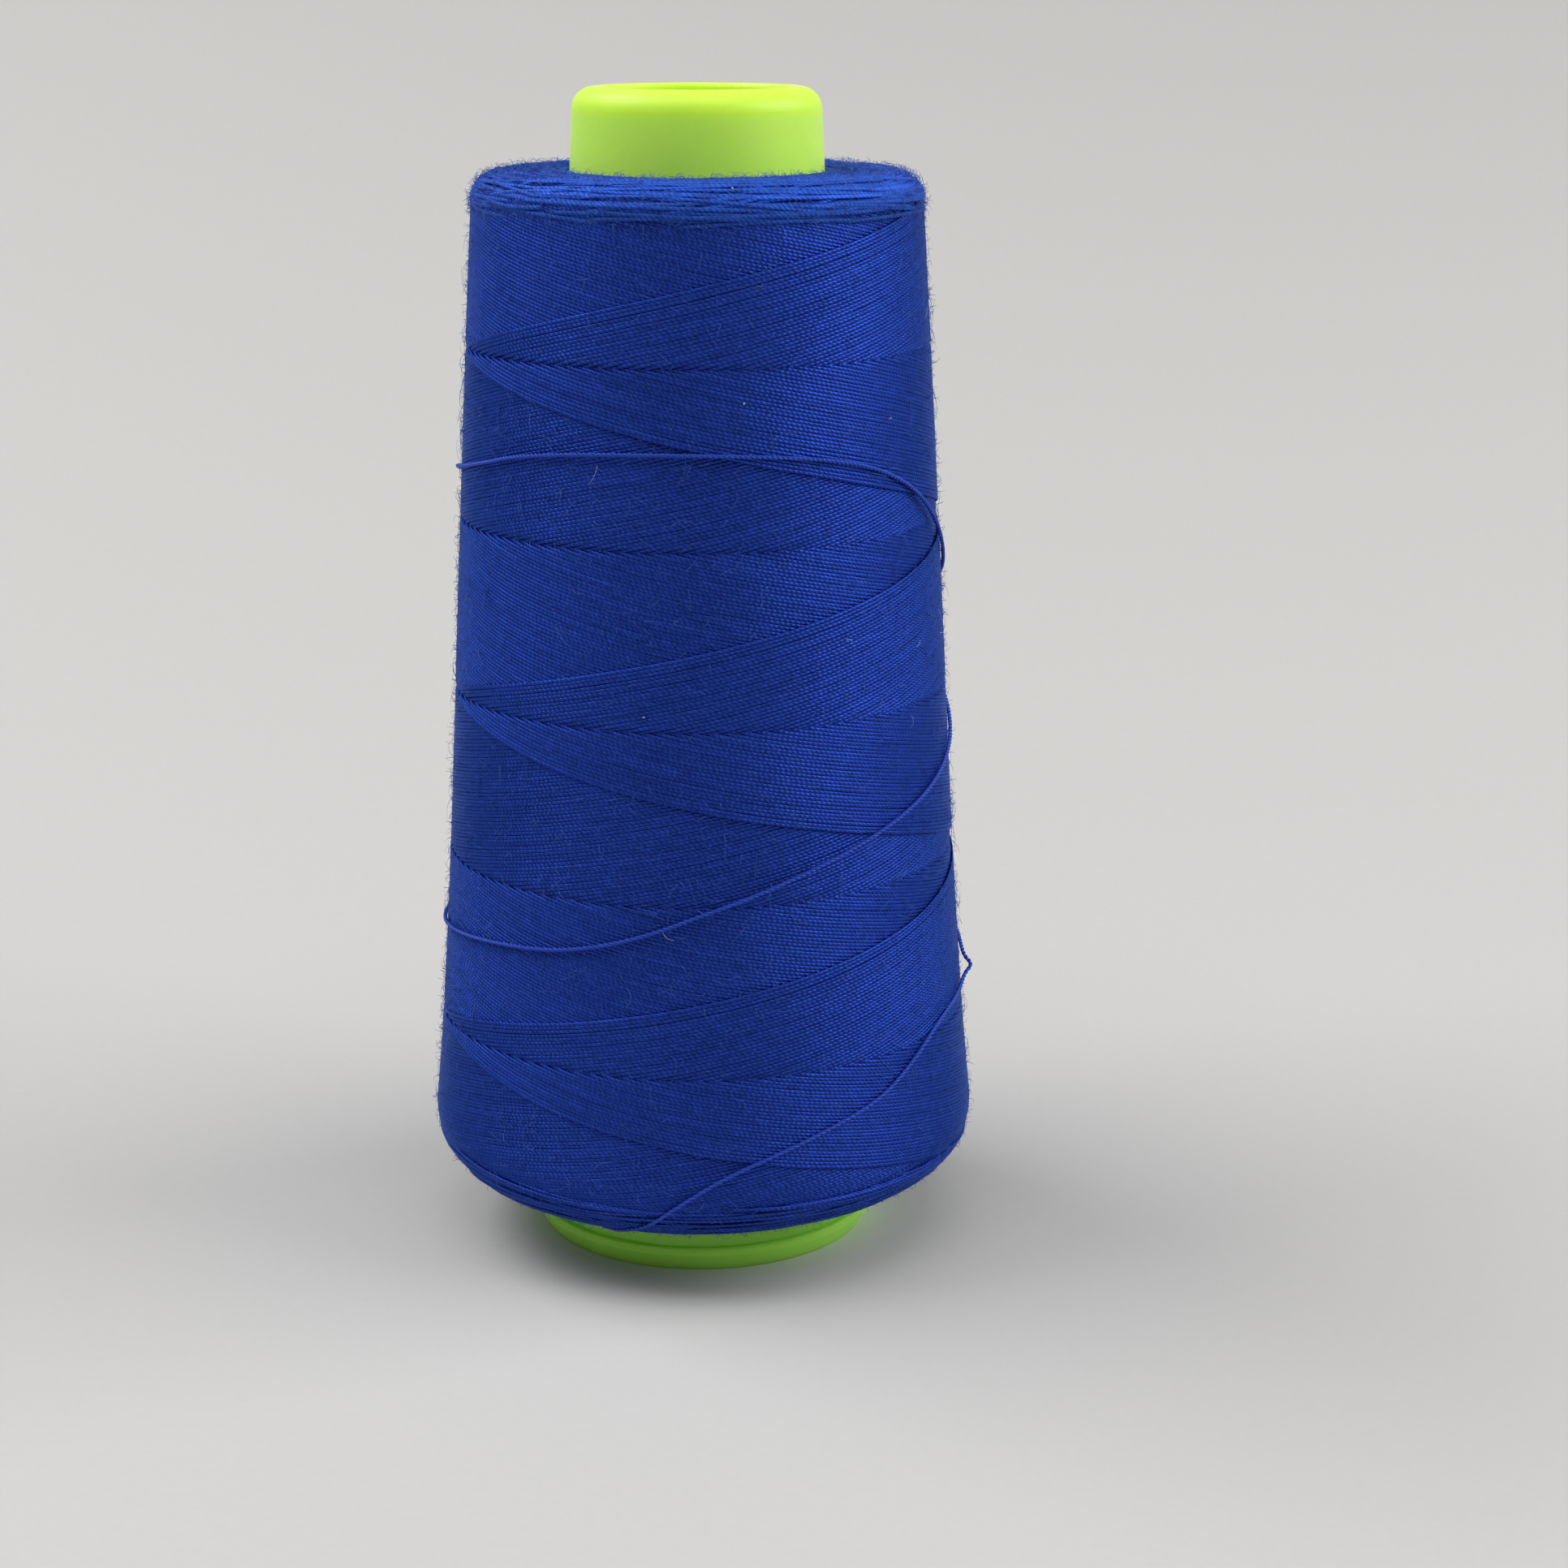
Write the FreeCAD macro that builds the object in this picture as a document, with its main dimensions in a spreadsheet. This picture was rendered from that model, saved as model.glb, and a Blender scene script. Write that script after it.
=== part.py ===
import FreeCAD, Part
import math
import os
import Sketcher

# A cone of sewing thread: the hollow moulded cone, the thread wound on it, its outermost turns and its
# loose end. Millimetres, +Z up. The origin is the centre of the base, where the cone stands.

# Driving sizes: name, value, what it is.
SIZES = (
    ("cone_height", 120.0, "base to the top of the nose"),
    ("nose_radius", 12.45, "outside of the wall at the top, before its rounding"),
    ("nose_hole_radius", 9.6, "hole through the nose"),
    ("nose_ring_depth", 3.0, "thick ring round the hole"),
    ("nose_rounding", 2.2, "shoulder of the nose"),
    ("hole_rounding", 0.4, "edge of the hole"),
    ("wall_base_radius", 17.9, "outside of the wall, where the rim ends"),
    ("wall_thickness", 1.4, "of the moulded wall"),
    ("rim_radius", 18.5, "widest circle of the base rim"),
    ("rim_foot_radius", 17.5, "circle that the cone stands on"),
    ("rim_bevel_height", 1.9, "where the rim is widest"),
    ("rim_height", 2.7, "ledge on top of the rim"),
    ("rim_rounding", 0.25, "outer edges of the rim"),
    ("fit_clearance", 0.05, "between the cone and the thread"),
    ("package_foot_height", 4.4, "where the underside of the thread meets the cone"),
    ("package_base_height", 9.0, "corner between underside and flank"),
    ("package_base_radius", 29.3, "outermost thread at that corner, before its rounding"),
    ("package_base_rounding", 6.5, "of that corner"),
    ("package_top_height", 111.8, "top face of the thread"),
    ("package_top_radius", 22.6, "outermost thread at the top corner"),
    ("package_top_rounding", 3.0, "of the top corner"),
    ("thread_diameter", 0.45, "one thread, not pressed"),
    ("layer_gap", 0.45, "between the rising and the falling strands where they cross"),
    ("lay_clearance", 0.05, "between a strand and the layers below it"),
    ("loose_clearance", 0.15, "between the loose strand and the turns below it"),
    ("low_turn_margin", 2.2, "from the base corner up to the lowest turning height"),
    ("high_turn_margin", 0.6, "from the top face down to the highest turning height"),
    ("winding_start_angle", 125.0, "degrees, counted anticlockwise from the front"),
    ("buried_depth", 1.0, "how deep the winding's inner end lies in the layers below"),
)

# Counts of the crossing winding, in quarter turns. An odd sum moves each new pass a quarter turn on.
RISE_QUARTERS = 11
FALL_QUARTERS = RISE_QUARTERS + 1
START_QUARTERS = 6.5
PASSES_UP = 4
BURIED_QUARTERS = 1

# The loose strand from its tucked end up: degrees from the front, height, and how far it stands off.
LOOSE_ROUTE = (
    (-30.0, 5.7, 0.0), (-18.0, 7.5, 0.0), (-10.0, 9.2, 0.0), (-5.0, 11.4, 0.0), (2.5, 14.0, 0.0),
    (10.0, 15.8, 0.0), (21.0, 17.7, 0.0), (30.0, 19.1, 0.0), (41.0, 20.7, 0.0), (50.5, 23.1, 0.0),
    (60.0, 25.6, 0.0), (69.0, 27.1, 0.0), (78.0, 27.9, 0.2), (87.0, 28.8, 0.9), (96.0, 30.2, 0.2),
    (110.0, 31.2, 0.0), (140.0, 32.2, 0.0), (170.0, 32.8, 0.0), (200.0, 33.1, 0.0), (230.0, 33.3, 0.0),
    (256.0, 33.5, 0.0), (275.0, 34.0, 0.1), (296.0, 35.2, 0.0), (312.0, 36.1, 0.0), (325.5, 36.7, 0.0),
    (334.0, 37.4, 0.0), (342.5, 38.4, 0.0), (351.5, 39.8, 0.0), (361.0, 41.6, 0.0), (370.0, 43.0, 0.0),
    (381.0, 44.8, 0.0), (394.0, 46.7, 0.0), (407.0, 48.5, 0.0), (423.0, 50.6, 0.0), (439.0, 53.0, 0.1),
    (455.0, 56.0, 0.1), (480.0, 61.0, 0.0), (510.0, 67.0, 0.0), (540.0, 72.0, 0.0), (570.0, 76.0, 0.0),
    (600.0, 79.3, 0.0), (622.0, 81.0, 0.1), (635.0, 82.2, 0.5), (648.0, 83.0, 0.2), (662.0, 84.2, 0.0),
    (675.0, 85.5, 0.0), (691.0, 86.3, 0.0), (707.0, 86.6, 0.0), (723.0, 86.6, 0.0), (739.0, 86.3, 0.0),
    (753.0, 85.6, 0.0), (766.0, 84.3, 0.0), (778.5, 82.0, 0.0), (788.0, 79.5, 0.0), (796.5, 76.7, 0.1),
    (805.0, 73.7, 0.1), (814.0, 71.0, 0.0), (826.0, 68.4, 0.0),
)
TUCK_ANGLE = -38.0

# Where a sketch's corners stand before their sizes pull them into place: a ring clear of both axes.
SKETCH_START_CENTRE = 20.0
SKETCH_START_RADIUS = 10.0

# Steps and tolerances of the checks made below.
GAP_STEP = 0.4
GAP_CELL = 3.0
GAP_NEAR_ALONG = 6.0
VOLUME_TOLERANCE = 0.01
CIRCLE_TOLERANCE = 0.01
STRAIGHT_HALF_TURN = 0.0005
PARALLEL_TOLERANCE = 1e-9

doc = FreeCAD.newDocument("thread_cone")
sheet = doc.addObject("Spreadsheet::Sheet", "sizes")
for row, (name, value, note) in enumerate(SIZES, start=1):
    sheet.set("A%d" % row, name)
    sheet.set("B%d" % row, str(value))
    sheet.set("C%d" % row, note)
    sheet.setAlias("B%d" % row, name)
doc.recompute()


def size(name):
    """One driving size, read back from the sheet."""
    return float(sheet.get(name))


def wall_radius(height):
    """Outside radius of the cone's wall: a straight taper from the rim to the nose."""
    share = (height - size("rim_height")) / (size("cone_height") - size("rim_height"))
    return size("wall_base_radius") + share * (size("nose_radius") - size("wall_base_radius"))


# The same taper as an expression, for the sketches.
WALL_AT = (
    "(sizes.wall_base_radius + (%s - sizes.rim_height) / (sizes.cone_height - sizes.rim_height)"
    " * (sizes.nose_radius - sizes.wall_base_radius))"
)
RING_UNDERSIDE = "(sizes.cone_height - sizes.nose_ring_depth)"
LAYER_DEPTH = "(2 * sizes.thread_diameter + sizes.layer_gap + sizes.lay_clearance)"


def origin_plane(body, role):
    """The body's own origin plane or axis of that role."""
    for feature in body.Origin.OriginFeatures:
        if feature.Role == role:
            return feature
    raise RuntimeError("no " + role)


def turned_body(label, corners):
    """A body turned about Z from a closed outline; each corner is a radius and a height expression."""
    body = doc.addObject("PartDesign::Body", label)
    body.Label = label
    sketch = body.newObject("Sketcher::SketchObject", label + "_outline")
    sketch.AttachmentSupport = [(origin_plane(body, "XZ_Plane"), "")]
    sketch.MapMode = "FlatFace"
    count = len(corners)
    places = []
    for number in range(count):
        turn = 2 * math.pi * number / count
        across = SKETCH_START_CENTRE + SKETCH_START_RADIUS * math.cos(turn)
        upward = SKETCH_START_CENTRE + SKETCH_START_RADIUS * math.sin(turn)
        places.append(FreeCAD.Vector(across, upward, 0))
    for number in range(count):
        sketch.addGeometry(Part.LineSegment(places[number], places[(number + 1) % count]))
    for number in range(count):
        after = (number + 1) % count
        sketch.addConstraint(Sketcher.Constraint("Coincident", number, 2, after, 1))
    for number, (radius, height) in enumerate(corners):
        for kind, value, expression in (
            ("DistanceX", places[number].x, radius),
            ("DistanceY", places[number].y, height),
        ):
            if expression == "0":
                sketch.addConstraint(Sketcher.Constraint("PointOnObject", number, 1, -1))
                continue
            index = sketch.addConstraint(Sketcher.Constraint(kind, -1, 1, number, 1, value))
            sketch.setExpression("Constraints[%d]" % index, expression)
    turned = body.newObject("PartDesign::Revolution", label + "_turned")
    turned.Profile = sketch
    turned.ReferenceAxis = (sketch, ["V_Axis"])
    turned.Angle = 360.0
    doc.recompute()
    return body, turned


def circle_edge(shape, radius, height):
    """Name of the whole-circle edge nearest to this radius and height."""
    best = None
    for number, edge in enumerate(shape.Edges, start=1):
        if not isinstance(edge.Curve, Part.Circle):
            continue
        miss = abs(edge.Curve.Radius - radius) + abs(edge.Curve.Center.z - height)
        if best is None or miss < best[0]:
            best = (miss, "Edge%d" % number)
    if best is None or best[0] > CIRCLE_TOLERANCE:
        raise RuntimeError("no circle of radius %.2f at height %.2f" % (radius, height))
    return best[1]


def rounded(body, base, name, size_name, circles):
    """Rounds the named circles of the body's last feature by one size of the sheet."""
    fillet = body.newObject("PartDesign::Fillet", name)
    fillet.Base = (base, [circle_edge(base.Shape, radius, height) for radius, height in circles])
    fillet.setExpression("Radius", "sizes." + size_name)
    doc.recompute()
    return fillet


# The moulded cone: rim, tapered wall, nose with a thick ring round its hole, hollow all the way.
cone, cone_turned = turned_body(
    "moulded_cone",
    (
        (WALL_AT % "0" + " - sizes.wall_thickness", "0"),
        ("sizes.rim_foot_radius", "0"),
        ("sizes.rim_radius", "sizes.rim_bevel_height"),
        ("sizes.rim_radius", "sizes.rim_height"),
        ("sizes.wall_base_radius", "sizes.rim_height"),
        ("sizes.nose_radius", "sizes.cone_height"),
        ("sizes.nose_hole_radius", "sizes.cone_height"),
        ("sizes.nose_hole_radius", RING_UNDERSIDE),
        (WALL_AT % RING_UNDERSIDE + " - sizes.wall_thickness", RING_UNDERSIDE),
    ),
)
nose_round = rounded(
    cone, cone_turned, "nose_shoulder", "nose_rounding", [(size("nose_radius"), size("cone_height"))]
)
hole_round = rounded(
    cone, nose_round, "hole_edge", "hole_rounding", [(size("nose_hole_radius"), size("cone_height"))]
)
rim_circles = [(size("rim_radius"), size("rim_bevel_height")), (size("rim_radius"), size("rim_height"))]
rounded(cone, hole_round, "rim_edges", "rim_rounding", rim_circles)

# The inner layers of thread, as one solid that fits on the cone's wall.
package, package_turned = turned_body(
    "thread_package",
    (
        (WALL_AT % "sizes.package_foot_height" + " + sizes.fit_clearance", "sizes.package_foot_height"),
        ("sizes.package_base_radius - " + LAYER_DEPTH, "sizes.package_base_height"),
        ("sizes.package_top_radius - " + LAYER_DEPTH, "sizes.package_top_height"),
        (WALL_AT % "sizes.package_top_height" + " + sizes.fit_clearance", "sizes.package_top_height"),
    ),
)
thread = size("thread_diameter")
layer_depth = 2 * thread + size("layer_gap") + size("lay_clearance")
core_base_radius = size("package_base_radius") - layer_depth
core_top_radius = size("package_top_radius") - layer_depth
base_round = rounded(
    package, package_turned, "base_corner", "package_base_rounding",
    [(core_base_radius, size("package_base_height"))],
)
rounded(
    package, base_round, "top_corner", "package_top_rounding",
    [(core_top_radius, size("package_top_height"))],
)

# Straight lines of the package's outline: its flank and its underside.
flank_rise = size("package_top_height") - size("package_base_height")
flank_taper = (core_base_radius - core_top_radius) / flank_rise
foot_radius = wall_radius(size("package_foot_height")) + size("fit_clearance")
underside_run = core_base_radius - foot_radius
underside_rise = size("package_base_height") - size("package_foot_height")


def flank_radius(height):
    """Radius of the package's flank at this height."""
    return core_base_radius - (height - size("package_base_height")) * flank_taper


def package_skin(height):
    """Radius and outward normal of the package's outline: underside, rounded corner, flank."""
    underside = math.atan2(underside_rise, underside_run)
    flank = math.pi / 2 + math.atan(flank_taper)
    rounding = size("package_base_rounding")
    reach = rounding * math.tan((flank - underside) / 2)
    low = size("package_base_height") - reach * math.sin(underside)
    high = size("package_base_height") + reach * math.sin(flank)
    if height <= low:
        heading = underside
        radius = foot_radius + (height - size("package_foot_height")) / math.tan(underside)
    elif height >= high:
        heading = flank
        radius = flank_radius(height)
    else:
        centre_height = low + rounding * math.cos(underside)
        centre_radius = core_base_radius - reach * math.cos(underside) - rounding * math.sin(underside)
        heading = math.acos((centre_height - height) / rounding)
        radius = centre_radius + rounding * math.sin(heading)
    return radius, math.sin(heading), -math.cos(heading)


def at_angle(degrees, radius, height):
    """A point at this many degrees anticlockwise from the front."""
    turn = math.radians(degrees)
    return FreeCAD.Vector(radius * math.sin(turn), -radius * math.cos(turn), height)


def along_angle(degrees, radius, radius_rate, height_rate):
    """Unit direction of travel there, for rates of radius and height in mm per radian."""
    turn = math.radians(degrees)
    outward = FreeCAD.Vector(math.sin(turn), -math.cos(turn), 0)
    onward = FreeCAD.Vector(math.cos(turn), math.sin(turn), 0)
    way = outward * radius_rate + onward * radius + FreeCAD.Vector(0, 0, height_rate)
    return way.normalize()


def tangent_arc(start, heading, reach, end):
    """Arc that leaves start along heading and ends at end; reach is where its two tangents meet."""
    corner = start + heading * reach
    chord_middle = (start + end) * 0.5
    half_chord = (end - start).Length / 2
    lift = (corner - chord_middle).Length
    half_turn = math.atan2(lift, half_chord)
    if half_turn < STRAIGHT_HALF_TURN:
        return Part.LineSegment(start, end).toShape(), float("inf")
    middle = chord_middle + (corner - chord_middle) * (math.tan(half_turn / 2) / math.tan(half_turn))
    return Part.Arc(start, middle, end).toShape(), half_chord / math.sin(half_turn)


def biarc(start, start_way, end, end_way):
    """Two arcs that share a tangent, from start to end, with these headings at the ends."""
    chord = end - start
    square = 2 * (1 - start_way.dot(end_way))
    linear = 2 * chord.dot(start_way + end_way)
    if square < PARALLEL_TOLERANCE:
        reach = chord.dot(chord) / linear
    else:
        reach = (math.sqrt(linear * linear + 4 * square * chord.dot(chord)) - linear) / (2 * square)
    meet = (start + end + (start_way - end_way) * reach) * 0.5
    middle_way = ((end - end_way * reach) - (start + start_way * reach)).normalize()
    return [tangent_arc(start, start_way, reach, meet), tangent_arc(meet, middle_way, reach, end)]


def biarc_edges(stations):
    """Edges and radii of the biarcs through a list of points with headings."""
    arcs = []
    for (start, start_way), (end, end_way) in zip(stations, stations[1:]):
        arcs.extend(biarc(start, start_way, end, end_way))
    return [edge for edge, radius in arcs], [radius for edge, radius in arcs]


def strand_solid(label, edges, radii):
    """One unbroken tube of the thread's diameter along the edges, with its sizes printed."""
    path = Part.Wire(edges)
    first = edges[0]
    way = first.tangentAt(first.FirstParameter)
    section = Part.Wire([Part.Circle(first.valueAt(first.FirstParameter), way, thread / 2).toShape()])
    solid = path.makePipeShell([section], True, False)
    expected = math.pi * thread * thread / 4 * path.Length
    if abs(solid.Volume - expected) > VOLUME_TOLERANCE * expected:
        raise RuntimeError(label + " has the wrong volume")
    print(label, "length %.0f mm, tightest radius %.2f mm" % (path.Length, min(radii)))
    print(label, "least gap to itself %.3f mm" % least_gap(edges))
    return solid


def least_gap(edges):
    """Least gap between stretches of one strand, measured on points along its line."""
    points = []
    travelled = 0.0
    for edge in edges:
        count = max(2, int(edge.Length / GAP_STEP))
        for number in range(count):
            spot = edge.FirstParameter + (edge.LastParameter - edge.FirstParameter) * number / count
            points.append((edge.valueAt(spot), travelled + edge.Length * number / count))
        travelled += edge.Length
    grid = {}
    for index, (point, along) in enumerate(points):
        key = (int(point.x // GAP_CELL), int(point.y // GAP_CELL), int(point.z // GAP_CELL))
        grid.setdefault(key, []).append(index)
    least = GAP_CELL
    for (column, line, level), members in grid.items():
        around = []
        for side in range(27):
            key = (column + side % 3 - 1, line + side // 3 % 3 - 1, level + side // 9 - 1)
            around.extend(grid.get(key, []))
        for index in members:
            point, along = points[index]
            for other in around:
                if abs(points[other][1] - along) > GAP_NEAR_ALONG:
                    least = min(least, (points[other][0] - point).Length)
    return least - thread


# The outermost layer: one strand that falls and rises between two turning heights and moves on a
# quarter turn with each pass. Rising strands lie on the package, falling ones cross over them.
turn_low = size("package_base_height") + size("low_turn_margin")
turn_high = size("package_top_height") - size("high_turn_margin")
rise_step = (turn_high - turn_low) / RISE_QUARTERS
fall_step = (turn_high - turn_low) / FALL_QUARTERS
rising_lie = size("lay_clearance") + thread / 2
falling_lie = rising_lie + thread + size("layer_gap")


def winding_heights():
    """Heights and rates of the strand at each quarter turn, half a quarter away from each reversal."""
    stops = []
    quarters = START_QUARTERS
    while quarters > 0:
        stops.append((turn_low + quarters * fall_step, -fall_step, falling_lie))
        quarters -= 1
    for number in range(PASSES_UP):
        last = number == PASSES_UP - 1
        for quarter in range(RISE_QUARTERS - (BURIED_QUARTERS if last else 0)):
            stops.append((turn_low + (quarter + 0.5) * rise_step, rise_step, rising_lie))
        if last:
            break
        for quarter in range(FALL_QUARTERS):
            stops.append((turn_high - (quarter + 0.5) * fall_step, -fall_step, falling_lie))
    return stops


quarter_turn = math.pi / 2
winding = []
stops = winding_heights()
for number, (height, step, lie) in enumerate(stops):
    angle = size("winding_start_angle") + 90 * number
    height_rate = step / quarter_turn
    radius_rate = -flank_taper * height_rate
    if number == len(stops) - 1:
        drop = lie + size("buried_depth")
        lie = -size("buried_depth")
        radius_rate -= drop / quarter_turn
    radius = flank_radius(height) + lie
    winding.append((at_angle(angle, radius, height), along_angle(angle, radius, radius_rate, height_rate)))

first_point, first_way = winding[0]
last_point, last_way = winding[-1]
join_point = first_point - first_way * thread
inner_end = last_point + last_way * thread
winding_edges, winding_radii = biarc_edges(winding)
winding_edges.insert(0, Part.LineSegment(join_point, first_point).toShape())
winding_edges.append(Part.LineSegment(last_point, inner_end).toShape())
outer_winding = doc.addObject("Part::Feature", "outer_winding")
outer_winding.Label = "outer_winding"
outer_winding.Shape = strand_solid("outer_winding", winding_edges, winding_radii)
print("outer_winding turns %.1f" % ((len(stops) - 1) / 4.0))

# The loose end of the same thread: it leaves the winding behind the cone, goes round outside it and
# is tucked in under the package, where it stops square to the cone's wall.
on_package = size("loose_clearance") + thread / 2
over_winding = layer_depth + size("loose_clearance") + thread / 2
settle_height = 3.0


def loose_point(degrees, height, stand_off):
    """Where the loose strand lies: on the package low down, and over the winding above."""
    share = min(1.0, max(0.0, (height - turn_low) / settle_height + 1.0))
    lie = on_package + share * (over_winding - on_package) + stand_off
    radius, outward, upward = package_skin(height)
    return at_angle(degrees, radius + lie * outward, height + lie * upward)


def heading_through(before, here, after):
    """Heading at a point of the circle through three points."""
    come = here - before
    leave = after - here
    return (come * (1 / come.dot(come)) + leave * (1 / leave.dot(leave))).normalize()


tuck_height = size("package_foot_height") - on_package
tuck_start = wall_radius(tuck_height) + size("fit_clearance")
tuck_end = at_angle(TUCK_ANGLE, tuck_start, tuck_height)
tuck_point = at_angle(TUCK_ANGLE, tuck_start + thread, tuck_height)
join_way = first_way
join_run = join_point - join_way * thread
loose = [tuck_point] + [loose_point(*stop) for stop in LOOSE_ROUTE] + [join_run]
ways = [(tuck_point - tuck_end).normalize()]
for before, here, after in zip(loose, loose[1:], loose[2:]):
    ways.append(heading_through(before, here, after))
ways.append(join_way)
loose_edges, loose_radii = biarc_edges(list(zip(loose, ways)))
loose_edges.insert(0, Part.LineSegment(tuck_end, tuck_point).toShape())
loose_edges.append(Part.LineSegment(join_run, join_point).toShape())
loose_strand = doc.addObject("Part::Feature", "loose_strand")
loose_strand.Label = "loose_strand"
loose_strand.Shape = strand_solid("loose_strand", loose_edges, loose_radii)

doc.recompute()
pieces = (cone, package, outer_winding, loose_strand)
for item in doc.Objects:
    if "Invalid" in item.State or "Error" in item.State:
        raise RuntimeError(item.Label + " failed")
for piece in pieces:
    if piece.Shape.isNull() or not piece.Shape.isValid():
        raise RuntimeError(piece.Label + " has no valid shape")
    if len(piece.Shape.Solids) != 1:
        raise RuntimeError(piece.Label + " is not one solid")
os.makedirs("parts", exist_ok=True)
for piece in pieces:
    piece.Shape.exportStep("parts/" + piece.Label + ".step")
    box = piece.Shape.BoundBox
    print(piece.Label, "volume %.0f mm3, height %.2f to %.2f mm" % (piece.Shape.Volume, box.ZMin, box.ZMax))
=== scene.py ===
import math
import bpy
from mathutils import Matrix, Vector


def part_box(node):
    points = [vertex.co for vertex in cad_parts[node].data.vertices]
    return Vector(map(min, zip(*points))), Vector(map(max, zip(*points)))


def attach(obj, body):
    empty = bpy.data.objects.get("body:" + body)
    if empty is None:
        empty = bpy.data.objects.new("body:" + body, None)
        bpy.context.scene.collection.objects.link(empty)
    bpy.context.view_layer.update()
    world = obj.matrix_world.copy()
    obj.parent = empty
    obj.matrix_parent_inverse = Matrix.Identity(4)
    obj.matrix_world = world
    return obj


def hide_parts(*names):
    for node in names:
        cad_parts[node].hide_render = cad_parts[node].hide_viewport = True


bl_info = {
    "name": "Thread cone",
    "version": (1, 0, 0),
    "blender": (4, 5, 0),
    "location": "3D View > Sidebar > Thread cone",
    "description": "Dresses a cone of sewing thread: crossed winding, turned ends, loose end, fuzz and cone",
    "category": "Add Mesh",
}

import bpy
import numpy as np
from bpy.props import FloatProperty, FloatVectorProperty, IntProperty, PointerProperty
from bpy.types import Operator, Panel, PropertyGroup
from mathutils import Euler, Vector

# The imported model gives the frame: metres, +Z up, the cone standing on its base at the origin.
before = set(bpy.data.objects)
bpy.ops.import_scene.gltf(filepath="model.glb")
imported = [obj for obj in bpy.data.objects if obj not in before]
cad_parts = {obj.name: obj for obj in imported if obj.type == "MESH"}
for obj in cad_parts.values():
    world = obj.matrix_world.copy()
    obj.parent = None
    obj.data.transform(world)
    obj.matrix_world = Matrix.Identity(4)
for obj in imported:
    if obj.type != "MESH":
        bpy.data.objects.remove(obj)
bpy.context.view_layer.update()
CONE_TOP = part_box("moulded_cone")[1].z
PACKAGE_LOW, PACKAGE_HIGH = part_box("thread_package")

MM = 0.001
TURN = 2 * math.pi

# Places round the cone are degrees anticlockwise from the front, seen from above, and heights in mm.
# The loose end's route from its tucked end up: degrees, height, how far it stands off the winding.
LOOSE_ROUTE = (
    (-37.0, 4.3, -0.5), (-30.0, 5.7, 0.0), (-18.0, 7.5, 0.0), (-10.0, 9.2, 0.0), (-5.0, 11.4, 0.0),
    (2.5, 14.0, 0.0), (10.0, 15.8, 0.0), (21.0, 17.7, 0.0), (30.0, 19.1, 0.0), (41.0, 20.7, 0.0),
    (50.5, 23.1, 0.0), (60.0, 25.6, 0.0), (69.0, 26.6, 0.0), (79.0, 27.0, 0.0), (83.5, 27.8, 0.3),
    (85.0, 28.5, 1.15), (86.5, 29.2, 0.3), (90.0, 30.0, 0.0), (103.0, 31.0, 0.0), (140.0, 32.2, 0.0),
    (170.0, 32.8, 0.0), (200.0, 33.1, 0.0), (230.0, 33.3, 0.0), (256.0, 33.5, 0.0), (275.0, 34.0, 0.0),
    (296.0, 35.2, 0.0), (312.0, 36.1, 0.0),
    (325.5, 36.7, 0.0), (334.0, 37.4, 0.0), (342.5, 38.4, 0.0), (351.5, 39.8, 0.0), (361.0, 41.6, 0.0),
    (370.0, 43.0, 0.0), (381.0, 44.8, 0.0), (394.0, 46.7, 0.0), (407.0, 48.5, 0.0), (423.0, 50.6, 0.0),
    (439.0, 53.0, 0.0), (455.0, 56.0, 0.0), (480.0, 61.0, 0.0), (510.0, 67.0, 0.0), (540.0, 72.0, 0.0),
    (570.0, 76.0, 0.0), (600.0, 79.3, 0.0), (622.0, 81.0, 0.1), (635.0, 82.2, 0.1), (648.0, 83.0, 0.0),
    (662.0, 84.2, 0.0), (675.0, 85.5, 0.0), (691.0, 86.3, 0.0), (707.0, 86.6, 0.0), (723.0, 86.6, 0.0),
    (739.0, 86.3, 0.0), (753.0, 85.6, 0.0), (766.0, 84.3, 0.0), (778.5, 82.0, 0.0), (788.0, 79.5, 0.0),
    (796.5, 76.7, 0.0), (805.0, 73.7, 0.0), (814.0, 71.0, 0.0), (826.0, 68.4, 0.0), (845.0, 67.0, 0.0),
    (870.0, 66.6, 0.0), (895.0, 66.8, 0.0), (915.0, 66.9, -0.1), (935.0, 66.6, -0.4),
)
# Lint seen on the thread: degrees, height, length, heading and curl in degrees, half thickness in mm.
LINT = (
    (52.0, 88.8, 0.36, 20, 300, 0.11), (11.9, 91.4, 0.36, 60, 280, 0.11),
    (-10.9, 61.2, 0.3, 0, 300, 0.09), (10.4, 111.2, 0.34, 40, 260, 0.09),
    (-22.2, 85.4, 2.1, -85, -55, 0.028), (-7.0, 40.2, 1.8, -80, 85, 0.036),
    (56.5, 58.9, 1.6, -60, -120, 0.03), (60.1, 65.5, 1.1, 10, 180, 0.03),
    (35.7, 67.8, 0.9, 70, -200, 0.03),
)


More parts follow.
